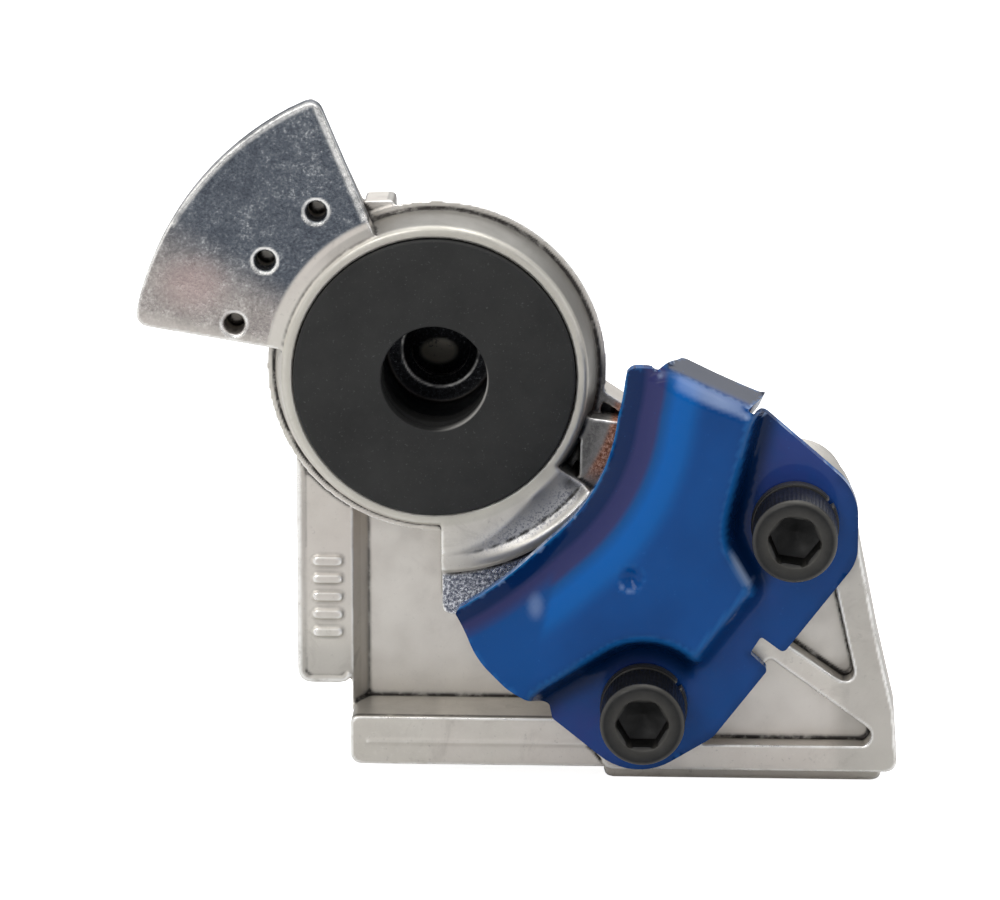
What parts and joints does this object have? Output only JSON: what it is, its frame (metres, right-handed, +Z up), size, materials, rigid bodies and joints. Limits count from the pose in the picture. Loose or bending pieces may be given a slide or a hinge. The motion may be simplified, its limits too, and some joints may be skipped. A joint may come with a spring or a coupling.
{
  "type": "air brake palm coupling",
  "caption": "Cast palm coupling for a truck's air-brake hose, with a rubber face seal, a hooked tongue, a screwed-on pressed steel guide plate and a downward pipe port.",
  "frame": {"origin": "middle of the lowest side of the object's bounding box", "axes": "-Y is the way the seal's face looks, +Z is up, away from the pipe port, and +X is towards the guide plate's screws"},
  "size_m": [0.1044, 0.0496, 0.0956],
  "materials": {
    "cast_metal": "die-cast, lightly tarnished",
    "seal_rubber": "matt black moulded rubber",
    "blue_paint": "glossy blue coat on pressed steel",
    "black_oxide": "black oxide",
    "washer_steel": "dark plated spring steel"
  },
  "bodies": {
    "root": {"coupling_body": "cast_metal", "face_seal": "seal_rubber", "guide_plate": "blue_paint", "cap_screw_upper": "black_oxide", "cap_screw_lower": "black_oxide", "lock_washer_upper": "washer_steel", "lock_washer_lower": "washer_steel"}
  },
  "joints": []
}
